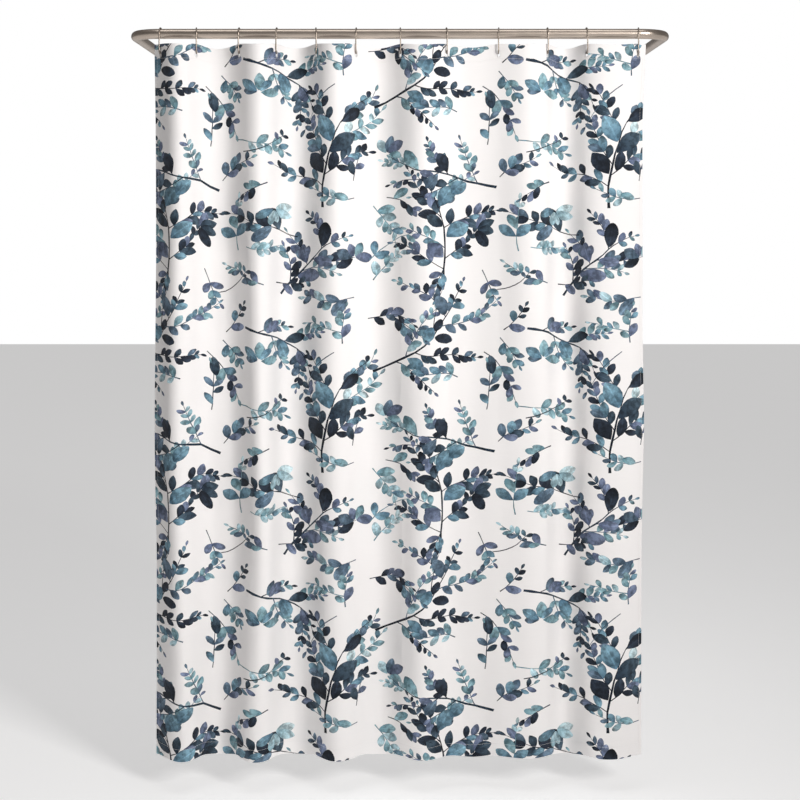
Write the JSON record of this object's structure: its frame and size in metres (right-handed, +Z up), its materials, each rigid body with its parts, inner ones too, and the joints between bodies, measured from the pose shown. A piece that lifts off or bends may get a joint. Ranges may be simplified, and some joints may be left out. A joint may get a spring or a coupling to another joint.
{
  "type": "shower curtain",
  "caption": "Printed cloth shower curtain in shallow folds, hung by wire hooks from a U-shaped wall-mounted rod with bent corners; it swings and draws along the rod.",
  "frame": {"origin": "on the wall plane, midway between the two wall flanges, at the height of the rod's axis", "axes": "+Z up; +Y points into the wall, so the curtain faces -Y; +X runs to the right along the rod as the curtain is faced"},
  "size_m": [1.426, 0.7077, 1.89],
  "materials": {
    "rod_metal": "warm brushed nickel plate",
    "sleeve_steel": "plain drawn tube",
    "screw_steel": "dark plated",
    "hook_wire": "bent wire, nickel plate",
    "printed_cloth": "plain-weave polyester, white, with a watercolour leaf print in blue-greys",
    "header_band": "woven stiffening band",
    "thread": "white sewing thread"
  },
  "bodies": {
    "rod": {"front_tube": "rod_metal", "left_elbow": "rod_metal", "right_elbow": "rod_metal", "left_return_tube": "rod_metal", "right_return_tube": "rod_metal", "left_front_sleeve": "sleeve_steel", "right_front_sleeve": "sleeve_steel", "left_return_sleeve": "sleeve_steel", "right_return_sleeve": "sleeve_steel", "sleeve_grub_screws": "screw_steel", "left_wall_flange": "rod_metal", "right_wall_flange": "rod_metal", "flange_set_screws": "screw_steel"},
    "curtain": {"curtain_panel": "printed_cloth", "header_band": "header_band", "header_stitching": "thread", "bottom_hem_stitching": "thread", "left_hem_stitching": "thread", "right_hem_stitching": "thread", "buttonhole_stitching": "thread"},
    "hook_01": {"hook_01": "hook_wire"},
    "hook_02": {"hook_02": "hook_wire"},
    "hook_03": {"hook_03": "hook_wire"},
    "hook_04": {"hook_04": "hook_wire"},
    "hook_05": {"hook_05": "hook_wire"},
    "hook_06": {"hook_06": "hook_wire"},
    "hook_07": {"hook_07": "hook_wire"},
    "hook_08": {"hook_08": "hook_wire"},
    "hook_09": {"hook_09": "hook_wire"},
    "hook_10": {"hook_10": "hook_wire"},
    "hook_11": {"hook_11": "hook_wire"},
    "hook_12": {"hook_12": "hook_wire"}
  },
  "joints": [
    {"name": "curtain_swing", "type": "hinge", "parent": "rod", "child": "curtain", "pos_m": [0, -0.66, 0], "axis": [1, 0, 0], "range_deg": [-20, 18]},
    {"name": "hook_01_slide", "type": "slide", "parent": "curtain", "child": "hook_01", "axis": [1, 0, 0], "range_m": [-0.0019, 0]},
    {"name": "hook_02_slide", "type": "slide", "parent": "curtain", "child": "hook_02", "axis": [1, 0, 0], "range_m": [-0.0663, 0]},
    {"name": "hook_03_slide", "type": "slide", "parent": "curtain", "child": "hook_03", "axis": [1, 0, 0], "range_m": [-0.1412, 0]},
    {"name": "hook_04_slide", "type": "slide", "parent": "curtain", "child": "hook_04", "axis": [1, 0, 0], "range_m": [-0.2077, 0]},
    {"name": "hook_05_slide", "type": "slide", "parent": "curtain", "child": "hook_05", "axis": [1, 0, 0], "range_m": [-0.2777, 0]},
    {"name": "hook_06_slide", "type": "slide", "parent": "curtain", "child": "hook_06", "axis": [1, 0, 0], "range_m": [-0.3484, 0]},
    {"name": "hook_07_slide", "type": "slide", "parent": "curtain", "child": "hook_07", "axis": [1, 0, 0], "range_m": [-0.4268, 0]},
    {"name": "hook_08_slide", "type": "slide", "parent": "curtain", "child": "hook_08", "axis": [1, 0, 0], "range_m": [-0.5087, 0]},
    {"name": "hook_09_slide", "type": "slide", "parent": "curtain", "child": "hook_09", "axis": [1, 0, 0], "range_m": [-0.6004, 0]},
    {"name": "hook_10_slide", "type": "slide", "parent": "curtain", "child": "hook_10", "axis": [1, 0, 0], "range_m": [-0.6872, 0]},
    {"name": "hook_11_slide", "type": "slide", "parent": "curtain", "child": "hook_11", "axis": [1, 0, 0], "range_m": [-0.7565, 0]},
    {"name": "curtain_draw", "type": "slide", "parent": "curtain", "child": "hook_12", "axis": [1, 0, 0], "range_m": [-0.847, 0], "deforming": ["curtain_panel", "header_band", "header_stitching", "bottom_hem_stitching", "left_hem_stitching", "right_hem_stitching", "buttonhole_stitching"]}
  ],
  "couplings": [
    {"joint": "hook_01_slide", "follows": "curtain_draw", "ratio": 0.00165},
    {"joint": "hook_02_slide", "follows": "curtain_draw", "ratio": 0.07769},
    {"joint": "hook_03_slide", "follows": "curtain_draw", "ratio": 0.16612},
    {"joint": "hook_04_slide", "follows": "curtain_draw", "ratio": 0.24463},
    {"joint": "hook_05_slide", "follows": "curtain_draw", "ratio": 0.32727},
    {"joint": "hook_06_slide", "follows": "curtain_draw", "ratio": 0.41074},
    {"joint": "hook_07_slide", "follows": "curtain_draw", "ratio": 0.50331},
    {"joint": "hook_08_slide", "follows": "curtain_draw", "ratio": 0.6},
    {"joint": "hook_09_slide", "follows": "curtain_draw", "ratio": 0.70826},
    {"joint": "hook_10_slide", "follows": "curtain_draw", "ratio": 0.81074},
    {"joint": "hook_11_slide", "follows": "curtain_draw", "ratio": 0.89256}
  ]
}
